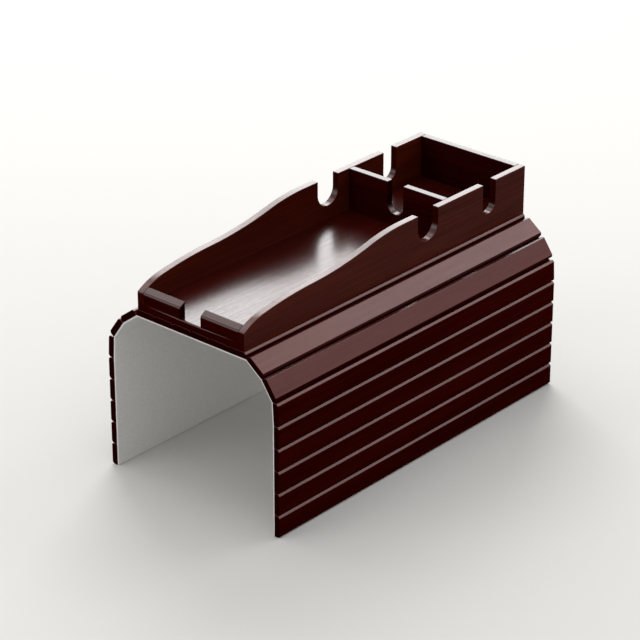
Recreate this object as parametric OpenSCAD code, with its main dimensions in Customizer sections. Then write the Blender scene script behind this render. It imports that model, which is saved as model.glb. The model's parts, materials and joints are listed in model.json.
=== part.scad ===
// Sofa arm tray: a wooden box with a phone bay and a mug bay, glued to a mat of slats.
// The mat's two wings hang down the sides of the arm. A felt lining under the slats holds
// them together and bends like a hinge in the middle of each gap.
// +X is the right side, +Y the rear and +Z up. The origin is the middle of the lining's
// underside, where the tray rests on the arm.

/* [Mat] */
// Distance from one slat to the next
slat_pitch = 19.9; // [16:0.1:24]
// Gap between two neighbouring slats
slat_gap = 0.4; // [0.3:0.1:0.8]
// Thickness of a slat
slat_thick = 5.5; // [4:0.5:7]
// Bevel along the two upper edges of a slat
slat_bevel = 1.6; // [0.8:0.1:2.2]
// Number of slats under the box
base_slats = 6; // [5:1:8]
// Number of slats in each wing
wing_slats = 8; // [4:1:10]
// Thickness of the felt lining
lining_thick = 1.4; // [0.8:0.1:2]
// Tightest downward fold between two slats
tightest_fold = 38; // [38:1:45]
// Clearance from a lining strip to the middle of the tightest fold
strip_clear = 0.1; // [0.1:0.05:0.3]
// Distance that the lining stays back from the slats' ends
lining_inset = 0.5; // [0:0.5:3]

/* [Drape] */
// Lean of the first slat of a wing, down from level
first_lean = 37; // [25:1:38]
// Lean of the second slat
second_lean = 55; // [45:1:70]
// Lean of the third slat
third_lean = 87; // [75:1:90]

/* [Box] */
// Thickness of the walls, the rails and the divider
board = 6.4; // [5:0.2:9]
// Thickness of the floor board
floor_board = 6.4; // [5:0.2:9]
// Clear length of the phone bay
phone_bay = 244.6; // [200:1:300]
// Clear length of the mug bay
mug_bay = 91.2; // [76:1:115]
// Height of the walls above the slats
wall_height = 44.7; // [37:0.5:56]
// Height of the walls at the front, above the slats
front_height = 16.1; // [14.5:0.1:20]
// Length of level wall top in front of the divider
level_run = 56.5; // [45:0.5:70]

/* [Notches] */
// Width of the cable notch in each side wall
cable_notch_w = 26; // [16:1:32]
// Height of the cable notch's lowest point above the slats
cable_notch_z = 19.2; // [16:0.2:24]
// Distance from the divider's front to the middle of the cable notch
cable_notch_back = 27; // [20:0.5:34]
// Width of the handle notches and of the divider's notch
handle_notch_w = 17; // [12:0.5:24]
// Height of their lowest point above the slats
handle_notch_z = 16.6; // [15:0.2:24]
// Distance from the divider's rear to the middle of the handle notch
handle_notch_back = 48.4; // [30:0.2:60]
// Width of the gap between the two front rails
rail_gap = 22.2; // [16:0.2:40]

/* [Brads] */
// Diameter of a brad
brad_d = 1.2; // [1:0.1:1.8]
// Length of a brad with its head
brad_length = 14; // [12:0.5:14]
// Diameter of a brad's head
brad_head_d = 2.4; // [2:0.1:3]
// Thickness of a brad's head
brad_head_h = 0.8; // [0.5:0.1:1]
// Clearance of a brad in its hole
brad_clear = 0.02; // [0.02:0.01:0.05]
// Number of brads along each side wall
side_brads = 4; // [2:1:6]
// Distance from a side wall's ends to its first and last brad
brad_inset = 20; // [12:1:30]

/* [Hidden] */
$fn = 180;
SPILL = 1;

WOOD = "#4a1c18";
DARK_WOOD = "#3a1210";
FELT = "#dcd8d0";
STEEL = "#b4b6b8";

tray_length = phone_bay + mug_bay + 3 * board;
front_y = -tray_length / 2;
divider_y = front_y + board + phone_bay;
rear_bay_y = divider_y + board;
back_wall_y = rear_bay_y + mug_bay;

base_half = base_slats * slat_pitch / 2;
box_half = base_half - slat_gap / 2 - slat_bevel;
inner_half = box_half - board;
deck_z = lining_thick + slat_thick;

// Distance from a fold line to the lining strip beside it, so that the tightest fold has room
fold_clear = (strip_clear + lining_thick * sin(tightest_fold / 2)) / cos(tightest_fold / 2);

// Wall top: four arcs that meet at a tangent, from the low front to the level run.
// Each arc runs between two breaks, which are shares of the curve's length.
// The slopes are the sines of the curve's angle at the breaks, before scaling to the rise.
curve_length = board + phone_bay - level_run;
curve_breaks = [0, 0.12, 0.408, 0.779, 1];
curve_slopes = [0.548, 0.175, 0.024, 0.22, 0];
curve_arcs = len(curve_breaks) - 1;
STEP_ANGLE = 1.5;

function angle_at(i, scale) = asin(scale * curve_slopes[i]);
function break_y(i) = curve_length * curve_breaks[i];
// Radius of arc i, negative where the curve is hollow
function arc_r(i, scale) =
    (break_y(i + 1) - break_y(i)) / (scale * (curve_slopes[i] - curve_slopes[i + 1]));
function arc_rise(i, scale) =
    arc_r(i, scale) * (cos(angle_at(i + 1, scale)) - cos(angle_at(i, scale)));
function rise_to(i, scale) = i == 0 ? 0 : rise_to(i - 1, scale) + arc_rise(i - 1, scale);

curve_scale = (wall_height - front_height) / rise_to(curve_arcs, 1);
wall_top = front_height + rise_to(curve_arcs, curve_scale);

// Points along arc i, in y from the front and z from the slats, without its last one
function arc_points(i) =
    let (a = angle_at(i, curve_scale), b = angle_at(i + 1, curve_scale))
    let (steps = ceil(abs(b - a) / STEP_ANGLE), r = arc_r(i, curve_scale))
    [for (j = [0 : steps - 1]) let (t = a + (b - a) * j / steps) [
        break_y(i) + r * (sin(a) - sin(t)),
        front_height + rise_to(i, curve_scale) + r * (cos(t) - cos(a))]];
curve_points = [for (i = [0 : curve_arcs - 1]) each arc_points(i)];

// Lean of wing slat k, counted from the box, and the fold line at its upper edge
lean_list = [first_lean, second_lean, third_lean];
function lean(k) = k <= len(lean_list) ? lean_list[k - 1] : 90;
function fold(k) = k == 1
    ? [base_half, lining_thick]
    : fold(k - 1) + slat_pitch * [cos(lean(k - 1)), -sin(lean(k - 1))];

side_step = (tray_length - 2 * brad_inset) / (side_brads - 1);
cross_x = (rail_gap / 2 + inner_half) / 2;
side_spots = [for (side = [-1, 1]) for (i = [0 : side_brads - 1])
    [side * (box_half - board / 2), front_y + brad_inset + i * side_step]];
cross_spots = [for (y = [front_y, divider_y, back_wall_y]) for (side = [-1, 1])
    [side * cross_x, y + board / 2]];
brad_spots = concat(side_spots, cross_spots);

function names(stem, count) = [for (i = [1 : count]) str(stem, i)];

// One slat, from the fold line at x = 0, with its underside at z = 0
module slat() {
    right = slat_pitch - slat_gap / 2;
    left = slat_gap / 2;
    shoulder = slat_thick - slat_bevel;
    translate([0, tray_length / 2, 0]) rotate([90, 0, 0]) linear_extrude(tray_length)
        polygon([
            [left, 0], [right, 0], [right, shoulder], [right - slat_bevel, slat_thick],
            [left + slat_bevel, slat_thick], [left, shoulder]]);
}

// One strip of lining under a slat, between two fold lines
module lining_strip(width) {
    translate([fold_clear, front_y + lining_inset, -lining_thick])
        cube([width - 2 * fold_clear, tray_length - 2 * lining_inset, lining_thick]);
}

// Puts its children at wing slat k of the right wing
module at_wing(k) {
    translate([fold(k).x, 0, fold(k).y]) rotate([0, lean(k), 0]) children();
}

module base_slat(i) {
    color(WOOD) translate([(i - 1) * slat_pitch - base_half, 0, lining_thick]) slat();
}

module right_slat(k) {
    color(WOOD) at_wing(k) slat();
}

module right_lining(k) {
    color(FELT) at_wing(k) lining_strip(slat_pitch);
}

module left_slat(k) {
    color(WOOD) mirror([1, 0, 0]) at_wing(k) slat();
}

module left_lining(k) {
    color(FELT) mirror([1, 0, 0]) at_wing(k) lining_strip(slat_pitch);
}

module lining_centre() {
    color(FELT) translate([-base_half, 0, lining_thick]) lining_strip(2 * base_half);
}

// Stands an outline drawn in y and z up as a board from x = 0 to x = thick
module upright(thick) {
    rotate([90, 0, 90]) linear_extrude(thick) children();
}

// A side wall's outline without notches, in y from the front and z from the slats
module wall_outline() {
    polygon(concat(
        [[tray_length, wall_top], [tray_length, floor_board], [0, floor_board]],
        curve_points,
        [[curve_length, wall_top]]));
}

// A notch with a round bottom, open at the top, around y = 0
module round_notch(width, bottom) {
    translate([0, bottom + width / 2]) circle(width / 2);
    translate([-width / 2, bottom + width / 2]) square([width, wall_top]);
}

module side_outline() {
    difference() {
        wall_outline();
        translate([divider_y - front_y - cable_notch_back, 0])
            round_notch(cable_notch_w, cable_notch_z);
        translate([rear_bay_y - front_y + handle_notch_back, 0])
            round_notch(handle_notch_w, handle_notch_z);
    }
}

// The holes that all brads leave in the boards they join
module brad_holes() {
    for (spot = brad_spots) translate([spot.x, spot.y, deck_z]) {
        cylinder(h = brad_length + brad_clear, d = brad_d + 2 * brad_clear);
        translate([0, 0, -SPILL])
            cylinder(h = SPILL + brad_head_h + brad_clear, d = brad_head_d + 2 * brad_clear);
    }
}

module side_wall() {
    translate([inner_half, front_y, deck_z]) upright(board) side_outline();
}

module left_wall() {
    color(WOOD) difference() {
        mirror([1, 0, 0]) side_wall();
        brad_holes();
    }
}

module right_wall() {
    color(WOOD) difference() {
        side_wall();
        brad_holes();
    }
}

// One front rail, from the gap in the middle to the right wall
module front_rail() {
    translate([rail_gap / 2, front_y, deck_z]) upright(inner_half - rail_gap / 2)
        intersection() {
            wall_outline();
            square([board, wall_top]);
        }
}

module front_rail_left() {
    color(DARK_WOOD) difference() {
        mirror([1, 0, 0]) front_rail();
        brad_holes();
    }
}

module front_rail_right() {
    color(DARK_WOOD) difference() {
        front_rail();
        brad_holes();
    }
}

// A board across the box, between the side walls, with its front face at y
module cross_board(y) {
    translate([-inner_half, y, deck_z + floor_board])
        cube([2 * inner_half, board, wall_top - floor_board]);
}

module divider() {
    color(DARK_WOOD) difference() {
        cross_board(divider_y);
        translate([0, divider_y + board + SPILL, deck_z]) rotate([90, 0, 0])
            linear_extrude(board + 2 * SPILL) round_notch(handle_notch_w, handle_notch_z);
        brad_holes();
    }
}

module back_wall() {
    color(DARK_WOOD) difference() {
        cross_board(back_wall_y);
        brad_holes();
    }
}

module floor_board() {
    color(DARK_WOOD) difference() {
        translate([-box_half, front_y, deck_z])
            cube([2 * box_half, tray_length, floor_board]);
        brad_holes();
    }
}

module brads() {
    color(STEEL) for (spot = brad_spots) translate([spot.x, spot.y, deck_z]) {
        cylinder(h = brad_length, d = brad_d);
        cylinder(h = brad_head_h, d = brad_head_d);
    }
}

floor_board();
left_wall();
right_wall();
front_rail_left();
front_rail_right();
divider();
back_wall();
brads();
lining_centre();
for (i = [1 : base_slats])
    base_slat(i);
for (k = [1 : wing_slats]) {
    right_slat(k);
    right_lining(k);
    left_slat(k);
    left_lining(k);
}
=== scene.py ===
"""Models the looks of the arm tray around its packed frame.

A lacquered box with a front bay and a rear bay stands on a mat of slats, whose two wings hang down.
The boards and slats are modelled here with softened edges, over the frame's nodes that they stand for.
The lining is felt that bends at the fold lines. Lengths are in metres.
"""

import json
import math

import bmesh
import bpy
from bpy.props import FloatProperty, FloatVectorProperty, IntProperty, PointerProperty
from mathutils import Matrix, Vector, noise


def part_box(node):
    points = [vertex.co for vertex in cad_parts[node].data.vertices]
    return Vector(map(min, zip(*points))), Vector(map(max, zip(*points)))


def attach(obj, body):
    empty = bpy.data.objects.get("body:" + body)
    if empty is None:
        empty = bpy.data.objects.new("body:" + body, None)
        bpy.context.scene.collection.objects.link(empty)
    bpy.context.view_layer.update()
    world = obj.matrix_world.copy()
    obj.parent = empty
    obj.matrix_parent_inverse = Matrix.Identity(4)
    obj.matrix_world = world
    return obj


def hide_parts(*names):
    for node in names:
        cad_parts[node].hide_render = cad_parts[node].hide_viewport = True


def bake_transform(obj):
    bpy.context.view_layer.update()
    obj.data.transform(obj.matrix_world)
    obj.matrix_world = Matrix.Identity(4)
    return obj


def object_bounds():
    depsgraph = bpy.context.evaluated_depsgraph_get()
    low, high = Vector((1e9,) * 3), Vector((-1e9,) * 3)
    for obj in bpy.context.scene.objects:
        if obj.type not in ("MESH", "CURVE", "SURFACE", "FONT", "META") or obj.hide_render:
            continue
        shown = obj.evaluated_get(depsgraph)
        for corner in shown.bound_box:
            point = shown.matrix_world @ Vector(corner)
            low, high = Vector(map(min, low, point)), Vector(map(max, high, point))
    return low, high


bl_info = {
    "name": "Sofa Arm Tray",
    "version": (1, 0, 0),
    "blender": (4, 5, 0),
    "location": "View3D > Sidebar > Arm Tray",
    "description": "Models a tray box on a mat of slats whose two wings hang down",
    "category": "Add Mesh",
}

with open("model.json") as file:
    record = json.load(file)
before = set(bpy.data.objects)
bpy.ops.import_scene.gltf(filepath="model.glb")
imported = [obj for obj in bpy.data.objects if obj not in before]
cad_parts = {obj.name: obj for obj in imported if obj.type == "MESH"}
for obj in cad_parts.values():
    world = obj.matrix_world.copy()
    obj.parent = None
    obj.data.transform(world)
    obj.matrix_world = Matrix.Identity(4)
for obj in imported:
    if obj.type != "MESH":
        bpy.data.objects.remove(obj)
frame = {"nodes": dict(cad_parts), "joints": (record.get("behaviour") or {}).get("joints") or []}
cad_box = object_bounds()

TRAY = "tray"
SIDES = {"right": 1, "left": -1}

# The tray's own sizes, read from the frame's boxes
MAT_LOW, MAT_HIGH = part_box("base_slat_1")
FLOOR_LOW, FLOOR_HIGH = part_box("floor_board")
WALL_LOW, WALL_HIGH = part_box("right_wall")
DIVIDER_LOW, DIVIDER_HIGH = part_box("divider")
RAIL_LOW, RAIL_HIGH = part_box("front_rail_right")
LINING_LOW, LINING_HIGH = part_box("lining_centre")
FRONT_Y, REAR_Y = MAT_LOW.y, MAT_HIGH.y
SLAT_WIDTH = MAT_HIGH.x - MAT_LOW.x
SLAT_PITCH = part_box("base_slat_2")[0].x - MAT_LOW.x
SLAT_THICK = MAT_HIGH.z - MAT_LOW.z
SLAT_GAP = SLAT_PITCH - SLAT_WIDTH
BASE_SLATS = sum(name.startswith("base_slat_") for name in frame["nodes"])
WING_SLATS = sum(name.startswith("right_slat_") for name in frame["nodes"])
BASE_HALF = BASE_SLATS * SLAT_PITCH / 2
DECK_Z = FLOOR_LOW.z
FELT_THICK = LINING_HIGH.z - LINING_LOW.z
FELT_LENGTH = LINING_HIGH.y - LINING_LOW.y
BOARD = WALL_HIGH.x - WALL_LOW.x
WALL_RISE = WALL_HIGH.z - DECK_Z

# The box is as wide as the flat of the slats under it, up to the outer slats' bevels
SLAT_BEVEL = BASE_HALF - SLAT_GAP / 2 - FLOOR_HIGH.x

# Wall top: four arcs that meet at a tangent, from the low front to the level run.
# The breaks are shares of the curve's length, and the slopes are sines before scaling to the rise.
CURVE_BREAKS = (0, 0.12, 0.408, 0.779, 1)
CURVE_SLOPES = (0.548, 0.175, 0.024, 0.22, 0)

# Lines across a fold where the felt can bend, as shares of the bend's half width
FOLD_LINES = (-1, -0.6, -0.2, 0.2, 0.6, 1)

# The felt's unevenness: waves to the metre, and their share of it
FUZZ_WAVES = ((120, 0.6), (700, 0.4))

# Points closer than this are in the same place
TOUCH = 1e-6

# Edges that turn more than this are rounded
LEAST_TURN = math.radians(25)

# Faces that meet at more than this are shaded apart
SHADED_APART = math.radians(40)

# A face is turned along an axis when more than this of its normal is
MOSTLY = 0.5

X_AXIS = Vector((1, 0, 0))
Y_AXIS = Vector((0, 1, 0))
Z_AXIS = Vector((0, 0, 1))

# The wood finishes. grain is the axis that the lines follow. tint multiplies the wood's colours, and so
# paints light and shade on the walls, the cross boards and the floor board against the slats. side_polish
# is the gloss of the faces towards the wings, where the upper faces have 1. haze is the share of a painted
# sheen, a lighter and redder colour that stands in for light and reflection on the faces that lean.
WOODS = {
    "lacquered_slats": dict(grain="Y", painted_light_tint=(1, 1, 1), side_polish=0, painted_sheen=1, seed=3),
    "lacquered_walls": dict(grain="Y", painted_light_tint=(1.9, 4.0, 2.4), side_polish=0.12, painted_sheen=0, seed=17),
    "lacquered_cross_boards": dict(grain="X", painted_light_tint=(0.73, 0.6, 0.7), side_polish=0, painted_sheen=0.22, seed=31),
    "lacquered_floor_board": dict(grain="Y", painted_light_tint=(1.1, 1.5, 1.2), side_polish=0, painted_sheen=0, seed=53),
}

# The grain's patterns: cells to the metre along and across the grain, their detail, and what their
# seed is moved by. The lines are a millimetre or two apart, and the figure is broad.
GRAIN_LINES = (9, 620, 5, 0)
GRAIN_FIGURE = (3.5, 45, 3, 11)
GRAIN_PORES = (140, 1900, 2, 23)

# How far a pattern moves along each axis for one step of its seed
SEED_STEP = (1, 0.7, 1.3)

# Where the patterns' middle tones lie, which are spread over the whole range
MIDDLE_TONES = (0.35, 0.68)

# Softboxes: azimuth from the front towards the right, elevation, width, height and brightness
LAMPS = {
    "back_left_softbox": (-135, 32, 2.6, 2.2, 6.0),
    "back_right_softbox": (155, 38, 1.9, 1.3, 2.0),
    "left_softbox": (-86, 53, 1.3, 1.2, 2.2),
    "overhead_softbox": (90, 86, 3.0, 3.0, 0.8),
    "front_left_softbox": (-30, 18, 2.0, 1.5, 1.8),
}


class TrayBoxSizes(bpy.types.PropertyGroup):
    """Sizes of the box's curved walls and notches, as the frame has them"""

    front_height: FloatProperty(
        name="Front height", description="Height of the walls at the front, above the slats",
        default=0.0161, unit="LENGTH")
    level_run: FloatProperty(
        name="Level run", description="Length of level wall top in front of the divider",
        default=0.0565, unit="LENGTH")
    wide_notch_width: FloatProperty(
        name="Wide notch", description="Width of the notch in each side wall in front of the divider",
        default=0.026, unit="LENGTH")
    wide_notch_rise: FloatProperty(
        name="Wide notch rise", description="Height of the wide notch's lowest point above the slats",
        default=0.0192, unit="LENGTH")
    wide_notch_place: FloatProperty(
        name="Wide notch place", description="From the divider's front to the wide notch's middle",
        default=0.027, unit="LENGTH")
    narrow_notch_width: FloatProperty(
        name="Narrow notch", description="Width of the notches in the divider and in the rear bay's sides",
        default=0.017, unit="LENGTH")
    narrow_notch_rise: FloatProperty(
        name="Narrow notch rise", description="Height of the narrow notches' lowest point above the slats",
        default=0.0166, unit="LENGTH")
    narrow_notch_place: FloatProperty(
        name="Narrow notch place", description="From the divider's rear to the side walls' narrow notch",
        default=0.0484, unit="LENGTH")
    arc_step: FloatProperty(
        name="Arc step", description="Turn between two points along an arc",
        default=math.radians(1.5), subtype="ANGLE")
    notch_steps: IntProperty(
        name="Notch steps", description="Edges around the round bottom of a notch", default=36)


class TrayEdges(bpy.types.PropertyGroup):
    """How far the lacquered edges are softened"""

    board_radius: FloatProperty(
        name="Board edges", description="Radius along the edges of the boards",
        default=0.0005, unit="LENGTH")
    joint_radius: FloatProperty(
        name="Joint edges", description="Radius along the edges that are glued flush with another board",
        default=0.00008, unit="LENGTH")
    slat_radius: FloatProperty(
        name="Slat edges", description="Radius along the edges of the slats",
        default=0.0002, unit="LENGTH")
    rail_radius: FloatProperty(
        name="Rail edge", description="Radius along the front top edge of the rails",
        default=0.0014, unit="LENGTH")
    gap_radius: FloatProperty(
        name="Gap edge", description="Radius along the floor board's front edge between the rails",
        default=0.0013, unit="LENGTH")
    steps: IntProperty(name="Edge steps", description="Faces across a softened edge", default=3)
    rail_steps: IntProperty(
        name="Rail edge steps", description="Faces across the edges at the rails and the gap", default=8)


class TrayLining(bpy.types.PropertyGroup):
    """How the felt lining bends and how rough its surface is"""

    bend_half: FloatProperty(
        name="Bend", description="Half of the width over which the felt bends at a fold",
        default=0.0015, unit="LENGTH")
    cell_width: FloatProperty(
        name="Cell width", description="Width of a cell of the felt's mesh, across the slats",
        default=0.0014, unit="LENGTH")
    cell_length: FloatProperty(
        name="Cell length", description="Length of a cell of the felt's mesh, along the slats",
        default=0.0028, unit="LENGTH")
    surface_fuzz: FloatProperty(
        name="Surface fuzz", description="How far the felt's underside wanders",
        default=0.00008, unit="LENGTH")
    edge_fuzz: FloatProperty(
        name="Edge fuzz", description="How far the felt's front and rear edges wander",
        default=0.00016, unit="LENGTH")


class TrayLacquer(bpy.types.PropertyGroup):
    """How the lacquer shines and how much of the grain shows through it"""

    coat_roughness: FloatProperty(
        name="Coat roughness", description="Roughness of the lacquer's glossy coat", default=0.22)
    coat_ior: FloatProperty(
        name="Coat IOR", description="Index of refraction of the lacquer's glossy coat", default=1.5)
    line_share: FloatProperty(
        name="Lines", description="Share of the light grain colour along a grain line", default=0.62)
    figure_share: FloatProperty(
        name="Figure", description="Share of the light grain colour that the broad figure adds",
        default=0.5)
    line_gloss: FloatProperty(
        name="Line gloss", description="Share of the gloss that is left between the grain lines",
        default=0.84)
    pore_gloss: FloatProperty(
        name="Pore gloss", description="Share of the gloss that is left in the pores", default=0.87)
    # The share of the painted sheen that is left on level faces
    level_painted_sheen: FloatProperty(
        name="Level haze", description="Share of the haze that is left on level faces", default=0.15)
    relief_depth: FloatProperty(
        name="Relief", description="Depth of the grain's relief under the lacquer",
        default=0.0002, unit="LENGTH")
    relief_strength: FloatProperty(
        name="Relief strength", description="Share of the relief that shows", default=0.12)


class TrayColours(bpy.types.PropertyGroup):
    """Colours of the finishes"""

    lacquer_dark: FloatVectorProperty(
        name="Dark grain", description="Lacquered wood between the grain lines",
        default=(0.0190, 0.0007, 0.0005), subtype="COLOR", min=0, max=1)
    lacquer_light: FloatVectorProperty(
        name="Light grain", description="Lacquered wood along the grain lines",
        default=(0.0440, 0.0026, 0.0014), subtype="COLOR", min=0, max=1)
    # Painted sheen: a lighter, redder colour added on the faces that lean, standing in for light and
    # reflection
    painted_sheen_colour: FloatVectorProperty(
        name="Haze", description="What the haze in the lacquer adds on the faces that lean",
        default=(0.105, 0.017, 0.012), subtype="COLOR", min=0, max=1)
    end_stain: FloatVectorProperty(
        name="End stain", description="What the stain multiplies the end grain's colour by",
        default=(0.45, 0.3, 0.3), subtype="COLOR", min=0, max=1)
    felt_light: FloatVectorProperty(
        name="Felt", description="Felt fibres", default=(0.90, 0.885, 0.86), subtype="COLOR", min=0, max=1)
    felt_grey: FloatVectorProperty(
        name="Felt flecks", description="Greyer fibres in the felt",
        default=(0.72, 0.70, 0.675), subtype="COLOR", min=0, max=1)
    # Painted shade: a dark film on the felt's upper side, where it shows in the grooves between the slats
    painted_shade_film: FloatVectorProperty(
        name="Glue film", description="Stained glue on the felt's upper side, in the grooves",
        default=(0.012, 0.003, 0.002), subtype="COLOR", min=0, max=1)
    steel: FloatVectorProperty(
        name="Steel", description="Brads", default=(0.62, 0.63, 0.64), subtype="COLOR", min=0, max=1)
    floor: FloatVectorProperty(
        name="Floor", description="Pale floor", default=(0.67, 0.66, 0.64), subtype="COLOR", min=0, max=1)


class TrayStage(bpy.types.PropertyGroup):
    """Camera, lamps and floor"""

    camera_place: FloatVectorProperty(
        name="Camera", description="Place of the camera", default=(1.32446, -1.53168, 0.94079),
        subtype="TRANSLATION", unit="LENGTH")
    camera_azimuth: FloatProperty(
        name="Camera azimuth", description="Camera's direction around the tray, from the front",
        default=math.radians(41.2744), subtype="ANGLE")
    camera_elevation: FloatProperty(
        name="Camera elevation", description="Camera's direction above level",
        default=math.radians(26.0475), subtype="ANGLE")
    lens: FloatProperty(name="Lens", description="Focal length in millimetres", default=150.9)
    sensor: FloatProperty(name="Sensor", description="Sensor width in millimetres", default=36)
    lamp_distance: FloatProperty(
        name="Lamp distance", description="Distance from the tray to each lamp",
        default=3.6, unit="LENGTH")
    ambient: FloatProperty(name="Ambient", description="Brightness of the room's even light", default=0.64)
    backdrop: FloatVectorProperty(
        name="Backdrop", description="Colour seen past the floor", default=(0.90, 0.89, 0.88),
        subtype="COLOR", min=0, max=1)
    fade_start: FloatProperty(
        name="Fade start", description="Distance at which the floor starts to fade into the backdrop",
        default=0.5, unit="LENGTH")
    fade_end: FloatProperty(
        name="Fade end", description="Distance at which the floor has become the backdrop",
        default=2.2, unit="LENGTH")
    floor_half: FloatProperty(
        name="Floor", description="Half of the floor's width", default=9, unit="LENGTH")
    floor_drop: FloatProperty(
        name="Floor drop", description="How far the floor lies below the wings' lowest point",
        default=0.0002, unit="LENGTH")
    floor_bounce: FloatProperty(
        name="Floor bounce", description="Share of the floor's colour in the light that it throws back",
        default=0.55)


GROUPS = {
    "tray_box": TrayBoxSizes,
    "tray_edges": TrayEdges,
    "tray_lining": TrayLining,
    "tray_lacquer": TrayLacquer,
    "tray_colours": TrayColours,
    "tray_stage": TrayStage,
}


def box_mesh(low, high):
    """A closed box between two corners."""
    bm = bmesh.new()
    bmesh.ops.create_cube(bm, size=1)
    bmesh.ops.scale(bm, vec=high - low, verts=bm.verts)
    bmesh.ops.translate(bm, vec=(low + high) / 2, verts=bm.verts)
    return bm


def bevel(bm, edges, width, steps):
    """Rounds edges in several steps, or cuts them off in one."""
    bmesh.ops.bevel(
        bm, geom=edges, offset=width, offset_type="OFFSET", segments=steps, profile=0.5,
        affect="EDGES", clamp_overlap=True, material=-1)


def sharp_edges(bm):
    """The edges that aren't part of a flat or gently curved face."""
    return [e for e in bm.edges if e.is_manifold and e.calc_face_angle() > LEAST_TURN]


def edges_at(bm, z):
    """The sharp edges at a height."""
    return [e for e in sharp_edges(bm) if all(abs(v.co.z - z) < TOUCH for v in e.verts)]


def cut_across(bm, x):
    """Adds an edge line where a mesh crosses x."""
    bmesh.ops.bisect_plane(
        bm, geom=bm.verts[:] + bm.edges[:] + bm.faces[:], dist=TOUCH, plane_co=(x, 0, 0), plane_no=X_AXIS)


def soften(bm, edges, radius, joint_z):
    """Rounds a piece's sharp edges, and only breaks those at the height where it is glued on."""
    glued = edges_at(bm, joint_z)
    bevel(bm, [e for e in sharp_edges(bm) if e not in glued], radius, edges.steps)
    bevel(bm, edges_at(bm, joint_z), edges.joint_radius, edges.steps)


def finish_piece(bm, name, finishes, body, nodes):
    """Makes a named piece of a mesh. It rides on a body and stands for the frame's nodes. A face's
    material number says which of the finishes it has."""
    bmesh.ops.recalc_face_normals(bm, faces=bm.faces)
    mesh = bpy.data.meshes.new(name)
    bm.to_mesh(mesh)
    bm.free()
    scene = bpy.context.scene
    for finish in finishes:
        mesh.materials.append(material_of(finish, scene))
    mesh.shade_smooth()
    mesh.set_sharp_from_angle(angle=SHADED_APART)
    piece = bpy.data.objects.new(name, mesh)
    scene.collection.objects.link(piece)
    normals = piece.modifiers.new("Even normals", "WEIGHTED_NORMAL")
    normals.keep_sharp = True
    if body:
        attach(piece, body)
    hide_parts(*nodes)
    return piece


class Outline:
    """Draws a closed outline in the YZ plane and makes a board of it."""

    def __init__(self, y, z):
        self.bm = bmesh.new()
        self.start = self.tip = self.bm.verts.new((0, y, z))

    def line(self, y, z):
        """Goes straight to a point."""
        end = self.bm.verts.new((0, y, z))
        self.bm.edges.new((self.tip, end))
        self.tip = end

    def arc(self, centre_y, centre_z, turn, steps):
        """Goes round a centre."""
        spun = bmesh.ops.spin(
            self.bm, geom=[self.tip], cent=(0, centre_y, centre_z), axis=X_AXIS, angle=turn, steps=steps)
        self.tip = next(v for v in spun["geom_last"] if isinstance(v, bmesh.types.BMVert))

    def notch(self, middle, width, bottom, top, steps):
        """Goes down into a round-bottomed notch and comes up again, towards +Y."""
        radius = width / 2
        self.line(middle - radius, top)
        self.line(middle - radius, bottom + radius)
        self.arc(middle, bottom + radius, math.pi, steps)
        self.line(middle + radius, top)

    def board(self, thick):
        """Closes the outline and gives it a thickness towards +X."""
        bm = self.bm
        bm.edges.new((self.tip, self.start))
        bmesh.ops.edgeloop_fill(bm, edges=bm.edges)
        grown = bmesh.ops.extrude_face_region(bm, geom=bm.faces[:])
        moved = [v for v in grown["geom"] if isinstance(v, bmesh.types.BMVert)]
        bmesh.ops.translate(bm, vec=X_AXIS * thick, verts=moved)
        bmesh.ops.recalc_face_normals(bm, faces=bm.faces)
        return bm


def curve_arcs(box):
    """The wall top's arcs: for each, where it starts, its radius and the angles at its two ends."""
    length = DIVIDER_LOW.y - FRONT_Y - box.level_run
    spans = list(zip(CURVE_BREAKS, CURVE_BREAKS[1:], CURVE_SLOPES, CURVE_SLOPES[1:]))

    def arcs(scale):
        for start, end, low, high in spans:
            radius = (end - start) * length / (scale * (low - high))
            yield start * length, radius, math.asin(scale * low), math.asin(scale * high)

    rise = sum(radius * (math.cos(high) - math.cos(low)) for _, radius, low, high in arcs(1))
    return list(arcs((WALL_RISE - box.front_height) / rise))


def draw_wall_top(outline, box, end_y=None):
    """Draws the wall top from the front, or only its first arc as far as end_y."""
    for start, radius, low, high in curve_arcs(box):
        if end_y is not None:
            high = math.asin(math.sin(low) - (end_y - start) / radius)
        steps = max(1, math.ceil(abs(high - low) / box.arc_step))
        y, z = outline.tip.co.y, outline.tip.co.z
        outline.arc(y + radius * math.sin(low), z - radius * math.cos(low), high - low, steps)
        if end_y is not None:
            return


def opaque(colour, factors=(1, 1, 1)):
    """A colour for a socket, after its channels are multiplied by the factors."""
    return (*[factor * part for factor, part in zip(factors, colour)], 1)


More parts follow.
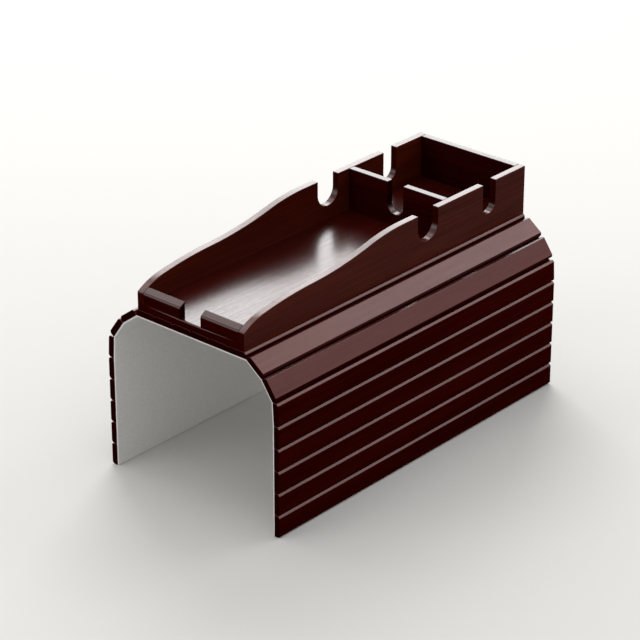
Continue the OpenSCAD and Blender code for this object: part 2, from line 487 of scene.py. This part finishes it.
class Shading:
    """Adds shader nodes to a material or a world."""

    def __init__(self, owner):
        owner.use_nodes = True
        self.nodes = owner.node_tree.nodes
        self.links = owner.node_tree.links

    def fill(self, node, inputs):
        """Gives the node's inputs a value, or links them where the value is an output."""
        for name, value in inputs.items():
            if isinstance(value, bpy.types.NodeSocket):
                self.links.new(value, node.inputs[name])
            else:
                node.inputs[name].default_value = value

    def add(self, kind, inputs, **settings):
        """Adds a node of a kind."""
        node = self.nodes.new(f"ShaderNode{kind}")
        for name, value in settings.items():
            setattr(node, name, value)
        self.fill(node, inputs)
        return node

    def coordinates(self, output="Object"):
        return self.add("TexCoord", {}).outputs[output]

    def noise_of(self, inputs):
        return self.add("TexNoise", inputs).outputs["Fac"]

    def combined(self, operation, first, second):
        return self.add("Math", {0: first, 1: second}, operation=operation).outputs["Value"]

    def mapped(self, value, low, high, to_low, to_high, **settings):
        """Turns low to high into to_low to to_high, and holds what lies past them at these ends."""
        inputs = {
            "Value": value, "From Min": low, "From Max": high, "To Min": to_low, "To Max": to_high}
        return self.add("MapRange", inputs, **settings).outputs["Result"]

    def mix(self, share, first, second, blend="MIX"):
        inputs = {"Factor": share, "A": first, "B": second}
        return self.add("Mix", inputs, data_type="RGBA", blend_type=blend).outputs["Result"]

    def bump(self, height, strength, distance):
        inputs = {"Height": height, "Strength": strength, "Distance": distance}
        return self.add("Bump", inputs).outputs["Normal"]

    def seen(self):
        """1 for what is looked at, also in a reflection or through glass, and 0 for light on its way."""
        rays = self.add("LightPath", {}).outputs
        seen = self.combined("MAXIMUM", rays["Is Camera Ray"], rays["Is Glossy Ray"])
        return self.combined("MAXIMUM", seen, rays["Is Transmission Ray"])


def new_material(name):
    """A new material, what adds its nodes, and its surface's shader."""
    material = bpy.data.materials.new(name)
    shading = Shading(material)
    return material, shading, shading.nodes["Principled BSDF"]


def wood_material(name, scene):
    """Lacquer over fine straight grain, as WOODS describes it."""
    wood, colours, lacquer = WOODS[name], scene.tray_colours, scene.tray_lacquer
    grain = wood["grain"]
    material, shading, shader = new_material(name)
    place = shading.coordinates()

    def pattern(along, across, detail, shift):
        offset = wood["seed"] + shift
        stretched = shading.add("Mapping", {
            "Vector": place,
            "Scale": [along if axis == grain else across for axis in "XYZ"],
            "Location": [offset * step for step in SEED_STEP]})
        return shading.noise_of({
            "Vector": stretched.outputs["Vector"], "Scale": 1, "Detail": detail, "Roughness": 0.6})

    lines = pattern(*GRAIN_LINES)
    figure = pattern(*GRAIN_FIGURE)
    pores = pattern(*GRAIN_PORES)
    light = shading.combined(
        "ADD", shading.mapped(lines, *MIDDLE_TONES, 0, lacquer.line_share),
        shading.mapped(figure, *MIDDLE_TONES, 0, lacquer.figure_share))
    # tint paints light and shade: it lightens the walls and darkens the cross boards against the slats
    tone = shading.mix(
        light, opaque(colours.lacquer_dark, wood["painted_light_tint"]), opaque(colours.lacquer_light, wood["painted_light_tint"]))

    # End grain drinks more stain, so the boards' ends are darker
    own_normal = shading.add("SeparateXYZ", {"Vector": shading.coordinates("Normal")}).outputs
    along_grain = shading.combined("ABSOLUTE", own_normal[grain], 0)
    end_share = shading.mapped(along_grain, 0.6, 0.9, 0, 1)
    stained = shading.mix(end_share, tone, opaque(colours.end_stain), "MULTIPLY")

    # Painted sheen: the faces that lean get a lighter, redder colour that stands in for light and
    # reflection on them, and the level and upright ones hardly any
    surface = shading.add("NewGeometry", {})
    normal = shading.add("SeparateXYZ", {"Vector": surface.outputs["Normal"]}).outputs
    not_upright = shading.mapped(normal["Z"], 0.1, 0.9, 0, wood["painted_sheen"])
    not_level = shading.mapped(normal["Z"], 0.85, 0.97, 1, lacquer.level_painted_sheen)
    painted_sheen = shading.combined("MULTIPLY", not_upright, not_level)

    # The lacquer shines on the faces that look up and is satin on the upright ones
    upward = shading.mapped(normal["Z"], 0.1, 0.5, 0, 1)
    sideways = shading.combined("ABSOLUTE", normal["X"], 0)
    side_gloss = shading.combined("MULTIPLY", sideways, wood["side_polish"])
    polish = shading.combined("MAXIMUM", upward, side_gloss)

    # The grain lines and the pores break its gloss
    line_gloss = shading.mapped(lines, 0.35, 0.65, lacquer.line_gloss, 1)
    pore_gloss = shading.mapped(pores, 0.35, 0.55, lacquer.pore_gloss, 1)
    streaked = shading.combined("MULTIPLY", polish, line_gloss)
    relief = shading.combined("ADD", pores, shading.mapped(lines, 0, 1, 0, 1.5))
    bumps = shading.bump(relief, lacquer.relief_strength, lacquer.relief_depth)
    shading.fill(shader, {
        "Base Color": shading.mix(painted_sheen, stained, opaque(colours.painted_sheen_colour), "ADD"),
        "Roughness": shading.mapped(pores, 0.3, 0.7, 0.32, 0.45),
        "Specular IOR Level": 0,
        "Coat Weight": shading.combined("MULTIPLY", streaked, pore_gloss),
        "Coat Roughness": lacquer.coat_roughness,
        "Coat IOR": lacquer.coat_ior,
        "Normal": bumps,
        "Coat Normal": bumps})
    return material


def felt_material(name, scene):
    """Pale matted felt with greyer flecks."""
    colours = scene.tray_colours
    material, shading, shader = new_material(name)
    flecks = shading.noise_of({
        "Vector": shading.coordinates(), "Scale": 900, "Detail": 6, "Roughness": 0.7, "Distortion": 1.2})
    shade = shading.mapped(flecks, 0.32, 0.58, 0, 1)
    shading.fill(shader, {
        "Base Color": shading.mix(shade, opaque(colours.felt_grey), opaque(colours.felt_light)),
        "Roughness": 0.95,
        "Specular IOR Level": 0.15,
        "Sheen Weight": 0.35,
        "Sheen Roughness": 0.6,
        "Normal": shading.bump(flecks, 0.5, 0.0004)})
    return material


def painted_shade_film_material(name, scene):
    """Stained glue that has soaked into the felt, blotchy and satin."""
    film = scene.tray_colours.painted_shade_film
    material, shading, shader = new_material(name)
    blotches = shading.noise_of({"Vector": shading.coordinates(), "Scale": 300})
    thick, thin = opaque(film), opaque(film, (2, 2, 2))
    shading.fill(shader, {
        "Base Color": shading.mix(blotches, thick, thin),
        "Roughness": 0.7,
        "Specular IOR Level": 0.1})
    return material


def steel_material(name, scene):
    """Drawn steel wire with fine lines along the upright brads."""
    material, shading, shader = new_material(name)
    stretched = shading.add("Mapping", {"Vector": shading.coordinates(), "Scale": (4000, 4000, 150)})
    lines = shading.noise_of({"Vector": stretched.outputs["Vector"], "Scale": 1})
    shading.fill(shader, {
        "Base Color": opaque(scene.tray_colours.steel),
        "Metallic": 1,
        "Roughness": shading.mapped(lines, 0, 1, 0.25, 0.45)})
    return material


def material_of(name, scene):
    """The named material, made at its first use."""
    others = {"lining_felt": felt_material, "painted_shade_film": painted_shade_film_material, "brad_steel": steel_material}
    make = others.get(name, wood_material)
    return bpy.data.materials.get(name) or make(name, scene)


def fold_frames(side):
    """For each wing slat: its fold line and its lean, down from level. The last slat hangs in line
    with the one above."""
    folds = {j["name"]: Vector(j["pos_m"]) for j in frame["joints"]}
    lines = [folds[f"{side}_fold_{k}"] for k in range(1, WING_SLATS + 1)]
    steps = [after - before for before, after in zip(lines, lines[1:])]
    leans = [math.atan2(-step.z, abs(step.x)) for step in steps]
    return list(zip(lines, leans + leans[-1:]))


def slat_mesh(edges):
    """One slat from its fold line at x = 0, with its underside at z = 0."""
    low = Vector((SLAT_GAP / 2, FRONT_Y, 0))
    high = Vector((SLAT_GAP / 2 + SLAT_WIDTH, REAR_Y, SLAT_THICK))
    bm = box_mesh(low, high)
    upper = [
        e for e in bm.edges
        if all(v.co.z > SLAT_THICK / 2 for v in e.verts)
        and abs(e.verts[0].co.x - e.verts[1].co.x) < TOUCH]
    bevel(bm, upper, SLAT_BEVEL, 1)
    soften(bm, edges, edges.slat_radius, 0)
    return bm


def felt_mesh(lining, start, end, fold_at=None):
    """A flat strip of felt from start to end along x, with its glued upper side at z = 0, which has the
    second finish. Where the strip crosses a fold line, its cells are finer."""
    bm = bmesh.new()
    columns, rows = round((end - start) / lining.cell_width), round(FELT_LENGTH / lining.cell_length)
    bmesh.ops.create_grid(bm, x_segments=columns, y_segments=rows, size=0.5)
    bmesh.ops.scale(bm, vec=(end - start, FELT_LENGTH, 1), verts=bm.verts)
    middle = Vector(((start + end) / 2, (LINING_LOW.y + LINING_HIGH.y) / 2, 0))
    bmesh.ops.translate(bm, vec=middle, verts=bm.verts)
    if fold_at is not None:
        for share in FOLD_LINES:
            cut_across(bm, fold_at + share * lining.bend_half)
    grown = bmesh.ops.extrude_face_region(bm, geom=bm.faces[:])
    lower = [v for v in grown["geom"] if isinstance(v, bmesh.types.BMVert)]
    bmesh.ops.translate(bm, vec=-Z_AXIS * FELT_THICK, verts=lower)
    bmesh.ops.recalc_face_normals(bm, faces=bm.faces)
    for face in bm.faces:
        face.material_index = int(face.calc_center_median().z > -TOUCH)
    return bm


def roughen(bm, lining, start, end):
    """Lets the felt's underside and its front and rear edges wander a little. The ends where it meets
    the next strip stay straight."""
    margin = lining.cell_width / 2
    for v in bm.verts:
        if min(v.co.x - start, end - v.co.x) < margin:
            continue
        spot = v.co.copy()
        wander = sum(noise.noise(spot * waves) * share for waves, share in FUZZ_WAVES)
        if spot.z < -FELT_THICK / 2:
            v.co.z += wander * lining.surface_fuzz
        if min(spot.y - LINING_LOW.y, LINING_HIGH.y - spot.y) < margin:
            v.co.y += wander * lining.edge_fuzz


def smooth_share(share):
    """Eases a share from 0 to 1."""
    share = min(1, max(0, share))
    return share * share * (3 - 2 * share)


def direction(azimuth, elevation):
    """From the tray towards an azimuth, counted from the front towards the right, and an elevation."""
    level = math.cos(elevation)
    return Vector((math.sin(azimuth) * level, -math.cos(azimuth) * level, math.sin(elevation)))


class TRAY_OT_slats(bpy.types.Operator):
    """Adds the slats under the box and in both wings"""

    bl_idname = "tray.slats"
    bl_label = "Slats"

    def execute(self, context):
        edges = context.scene.tray_edges
        finishes = ["lacquered_slats"]
        for i in range(1, BASE_SLATS + 1):
            bm = slat_mesh(edges)
            place = Vector(((i - 1) * SLAT_PITCH - BASE_HALF, 0, MAT_LOW.z))
            bmesh.ops.translate(bm, vec=place, verts=bm.verts)
            finish_piece(bm, f"deck_slat_{i}", finishes, TRAY, [f"base_slat_{i}"])
        for side, sign in SIDES.items():
            for k, (fold, lean) in enumerate(fold_frames(side), 1):
                bm = slat_mesh(edges)
                bmesh.ops.rotate(bm, verts=bm.verts, cent=(0, 0, 0), matrix=Matrix.Rotation(lean, 3, "Y"))
                bmesh.ops.scale(bm, vec=(sign, 1, 1), verts=bm.verts)
                bmesh.ops.translate(bm, vec=fold, verts=bm.verts)
                finish_piece(
                    bm, f"{side}_hanging_slat_{k}", finishes, f"{side}_wing_{k}",
                    [f"{side}_slat_{k}"])
        return {"FINISHED"}


class TRAY_OT_floor_board(bpy.types.Operator):
    """Adds the board that the box stands on, and finishes the brads driven up through it. The board's
    edges have the finish of the boards above them"""

    bl_idname = "tray.floor_board"
    bl_label = "Floor board"

    def execute(self, context):
        edges = context.scene.tray_edges
        gap_half = RAIL_LOW.x
        bm = box_mesh(FLOOR_LOW, FLOOR_HIGH)
        upright = [e for e in bm.edges if abs(e.verts[0].co.z - e.verts[1].co.z) > TOUCH]
        bevel(bm, upright, edges.board_radius, edges.steps)
        bevel(bm, edges_at(bm, FLOOR_LOW.z), edges.joint_radius, edges.steps)
        for x in (-gap_half, gap_half):
            cut_across(bm, x)
        front_top = [
            e for e in edges_at(bm, FLOOR_HIGH.z)
            if all(v.co.y < FRONT_Y + TOUCH and abs(v.co.x) < gap_half + TOUCH for v in e.verts)]
        bevel(bm, front_top, edges.gap_radius, edges.rail_steps)
        finishes = ["lacquered_floor_board", "lacquered_walls", "lacquered_cross_boards"]
        bm.normal_update()
        for face in bm.faces:
            along_x, along_y = [abs(part) > MOSTLY for part in face.normal.xy]
            face.material_index = 1 if along_x else 2 if along_y else 0
        finish_piece(bm, "box_floor", finishes, TRAY, ["floor_board"])
        brads = frame["nodes"]["brads"]
        brads.data.materials.clear()
        brads.data.materials.append(material_of("brad_steel", context.scene))
        return {"FINISHED"}


class TRAY_OT_side_walls(bpy.types.Operator):
    """Adds the two side walls with their curved tops and round-bottomed notches"""

    bl_idname = "tray.side_walls"
    bl_label = "Side walls"

    def execute(self, context):
        box, edges = context.scene.tray_box, context.scene.tray_edges
        top = DECK_Z + WALL_RISE
        for side, sign in SIDES.items():
            wall = Outline(FRONT_Y, WALL_LOW.z)
            wall.line(FRONT_Y, DECK_Z + box.front_height)
            draw_wall_top(wall, box)
            wall.notch(
                DIVIDER_LOW.y - box.wide_notch_place, box.wide_notch_width,
                DECK_Z + box.wide_notch_rise, top, box.notch_steps)
            wall.notch(
                DIVIDER_HIGH.y + box.narrow_notch_place, box.narrow_notch_width,
                DECK_Z + box.narrow_notch_rise, top, box.notch_steps)
            wall.line(REAR_Y, top)
            wall.line(REAR_Y, WALL_LOW.z)
            bm = wall.board(BOARD)
            soften(bm, edges, edges.board_radius, WALL_LOW.z)
            bmesh.ops.translate(bm, vec=X_AXIS * WALL_LOW.x, verts=bm.verts)
            bmesh.ops.scale(bm, vec=(sign, 1, 1), verts=bm.verts)
            finish_piece(bm, f"{side}_side", ["lacquered_walls"], TRAY, [f"{side}_wall"])
        return {"FINISHED"}


class TRAY_OT_front_rails(bpy.types.Operator):
    """Adds the two low rails at the front, with the gap between them"""

    bl_idname = "tray.front_rails"
    bl_label = "Front rails"

    def execute(self, context):
        box, edges = context.scene.tray_box, context.scene.tray_edges
        finishes = ["lacquered_cross_boards"]
        for side, sign in SIDES.items():
            rail = Outline(FRONT_Y, RAIL_LOW.z)
            rail.line(FRONT_Y, DECK_Z + box.front_height)
            draw_wall_top(rail, box, BOARD)
            rail.line(FRONT_Y + BOARD, RAIL_LOW.z)
            bm = rail.board(RAIL_HIGH.x - RAIL_LOW.x)
            front_top = [
                e for e in bm.edges
                if all(abs(v.co.y - FRONT_Y) < TOUCH and v.co.z > RAIL_LOW.z + TOUCH for v in e.verts)]
            bevel(bm, front_top, edges.rail_radius, edges.rail_steps)
            soften(bm, edges, edges.board_radius, RAIL_LOW.z)
            bmesh.ops.translate(bm, vec=X_AXIS * RAIL_LOW.x, verts=bm.verts)
            bmesh.ops.scale(bm, vec=(sign, 1, 1), verts=bm.verts)
            finish_piece(bm, f"{side}_rail", finishes, TRAY, [f"front_rail_{side}"])
        return {"FINISHED"}


class TRAY_OT_cross_boards(bpy.types.Operator):
    """Adds the notched divider between the bays, and the back wall"""

    bl_idname = "tray.cross_boards"
    bl_label = "Divider and back wall"

    def execute(self, context):
        box, edges = context.scene.tray_box, context.scene.tray_edges
        finishes = ["lacquered_cross_boards"]
        half, top = DIVIDER_HIGH.x, DIVIDER_HIGH.z
        divider = Outline(-half, DIVIDER_LOW.z)
        divider.line(-half, top)
        divider.notch(0, box.narrow_notch_width, DECK_Z + box.narrow_notch_rise, top, box.notch_steps)
        divider.line(half, top)
        divider.line(half, DIVIDER_LOW.z)
        bm = divider.board(BOARD)
        soften(bm, edges, edges.board_radius, DIVIDER_LOW.z)
        bmesh.ops.rotate(bm, verts=bm.verts, cent=(0, 0, 0), matrix=Matrix.Rotation(-math.pi / 2, 3, "Z"))
        bmesh.ops.translate(bm, vec=Y_AXIS * DIVIDER_HIGH.y, verts=bm.verts)
        finish_piece(bm, "bay_divider", finishes, TRAY, ["divider"])
        low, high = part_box("back_wall")
        bm = box_mesh(low, high)
        soften(bm, edges, edges.board_radius, low.z)
        finish_piece(bm, "rear_board", finishes, TRAY, ["back_wall"])
        return {"FINISHED"}


class TRAY_OT_lining(bpy.types.Operator):
    """Adds the felt lining, in strips that bend at the fold lines and meet in the middle of the slats"""

    bl_idname = "tray.lining"
    bl_label = "Felt lining"

    def execute(self, context):
        lining = context.scene.tray_lining
        finishes = ["lining_felt", "painted_shade_film"]
        half = SLAT_PITCH / 2
        reach = BASE_HALF - half
        bm = felt_mesh(lining, -reach, reach)
        roughen(bm, lining, -reach, reach)
        bmesh.ops.translate(bm, vec=Z_AXIS * LINING_HIGH.z, verts=bm.verts)
        centre = finish_piece(bm, "felt_centre", finishes, TRAY, ["lining_centre"])
        for side, sign in SIDES.items():
            body, lean_before = TRAY, 0
            for k, (fold, lean) in enumerate(fold_frames(side), 1):
                last = k == WING_SLATS
                end = SLAT_PITCH - SLAT_GAP if last else half
                bm = felt_mesh(lining, -half, end, fold_at=0)
                roughen(bm, lining, -half, SLAT_PITCH if last else end)
                for v in bm.verts:
                    share = smooth_share((v.co.x + lining.bend_half) / (2 * lining.bend_half))
                    turn = Matrix.Rotation(lean_before + (lean - lean_before) * share, 3, "Y")
                    spot = turn @ Vector((v.co.x, 0, v.co.z))
                    v.co = fold + Vector((sign * spot.x, v.co.y, spot.z))
                wing = f"{side}_wing_{k}"
                piece = finish_piece(
                    bm, f"{side}_felt_{k}", finishes, None, [f"{side}_lining_{k}"])
                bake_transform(piece)
                body, lean_before = wing, lean
        return {"FINISHED"}


class TRAY_OT_stage(bpy.types.Operator):
    """Adds the pale floor, the soft lamps, the even room light and the camera"""

    bl_idname = "tray.stage"
    bl_label = "Floor, lamps and camera"

    def execute(self, context):
        scene = context.scene
        stage = scene.tray_stage
        self.add_floor(scene, stage)
        self.add_lamps(scene, stage)
        self.light_room(scene, stage)
        self.add_camera(scene, stage)
        scene.view_settings.view_transform = "Standard"
        return {"FINISHED"}

    def add_floor(self, scene, stage):
        bm = bmesh.new()
        bmesh.ops.create_grid(bm, x_segments=1, y_segments=1, size=stage.floor_half)
        bmesh.ops.translate(bm, vec=Z_AXIS * (cad_box[0].z - stage.floor_drop), verts=bm.verts)
        mesh = bpy.data.meshes.new("floor")
        bm.to_mesh(mesh)
        bm.free()
        mesh.materials.append(self.floor_material(scene.tray_colours, stage))
        floor = bpy.data.objects.new("floor", mesh)
        scene.collection.objects.link(floor)

    def floor_material(self, colours, stage):
        """Pale where it is looked at, straight on or in a reflection, and darker for the light that it
        throws back at the tray. Far away it fades into the backdrop."""
        material, shading, shader = new_material("pale_floor")
        seen = shading.seen()
        thrown_back = opaque(colours.floor, [stage.floor_bounce] * 3)
        shading.fill(shader, {
            "Base Color": shading.mix(seen, thrown_back, opaque(colours.floor)),
            "Roughness": 1,
            "Specular IOR Level": 0})
        distance = shading.add("VectorMath", {0: shading.coordinates()}, operation="LENGTH")
        far = shading.mapped(
            distance.outputs["Value"], stage.fade_start, stage.fade_end, 0, 1,
            interpolation_type="SMOOTHSTEP")
        glow = shading.add("Emission", {"Color": opaque(stage.backdrop)})
        share = shading.combined("MULTIPLY", far, seen)
        blend = shading.add(
            "MixShader", {0: share, 1: shader.outputs["BSDF"], 2: glow.outputs["Emission"]})
        shading.fill(shading.nodes["Material Output"], {"Surface": blend.outputs["Shader"]})
        return material

    def add_lamps(self, scene, stage):
        for name, (azimuth, elevation, width, height, brightness) in LAMPS.items():
            towards = direction(math.radians(azimuth), math.radians(elevation))
            lamp = bpy.data.lights.new(name, "AREA")
            lamp.shape = "RECTANGLE"
            lamp.size, lamp.size_y = width, height
            lamp.energy = brightness * math.pi * width * height
            holder = bpy.data.objects.new(name, lamp)
            holder.location = towards * stage.lamp_distance
            holder.rotation_mode = "QUATERNION"
            holder.rotation_quaternion = towards.to_track_quat("Z", "Y")
            holder.visible_camera = False
            scene.collection.objects.link(holder)

    def light_room(self, scene, stage):
        scene.world = bpy.data.worlds.new("room")
        shading = Shading(scene.world)
        tone = shading.mix(shading.seen(), opaque([stage.ambient] * 3), opaque(stage.backdrop))
        shading.fill(shading.nodes["Background"], {"Color": tone})

    def add_camera(self, scene, stage):
        lens = bpy.data.cameras.new("camera")
        lens.sensor_width = stage.sensor
        lens.lens = stage.lens
        camera = bpy.data.objects.new("camera", lens)
        camera.location = stage.camera_place
        camera.rotation_mode = "QUATERNION"
        towards = direction(stage.camera_azimuth, stage.camera_elevation)
        camera.rotation_quaternion = (-towards).to_track_quat("-Z", "Y")
        scene.collection.objects.link(camera)
        scene.camera = camera


OPERATORS = (
    TRAY_OT_slats,
    TRAY_OT_floor_board,
    TRAY_OT_side_walls,
    TRAY_OT_front_rails,
    TRAY_OT_cross_boards,
    TRAY_OT_lining,
    TRAY_OT_stage,
)


class TRAY_PT_sidebar(bpy.types.Panel):
    """Lists the tray's pieces and their sizes"""

    bl_idname = "TRAY_PT_sidebar"
    bl_label = "Arm tray"
    bl_space_type = "VIEW_3D"
    bl_region_type = "UI"
    bl_category = "Arm Tray"

    def draw(self, context):
        for operator in OPERATORS:
            self.layout.operator(operator.bl_idname)
        for name, group in GROUPS.items():
            column = self.layout.column(heading=group.__doc__)
            for size in group.__annotations__:
                column.prop(getattr(context.scene, name), size)


CLASSES = (*GROUPS.values(), *OPERATORS, TRAY_PT_sidebar)


def register():
    for item in CLASSES:
        bpy.utils.register_class(item)
    for name, group in GROUPS.items():
        setattr(bpy.types.Scene, name, PointerProperty(type=group))


def unregister():
    for name in GROUPS:
        delattr(bpy.types.Scene, name)
    for item in reversed(CLASSES):
        bpy.utils.unregister_class(item)


def main():
    register()
    bpy.ops.tray.slats()
    bpy.ops.tray.floor_board()
    bpy.ops.tray.side_walls()
    bpy.ops.tray.front_rails()
    bpy.ops.tray.cross_boards()
    bpy.ops.tray.lining()
    bpy.ops.tray.stage()


if __name__ == "__main__":
    main()
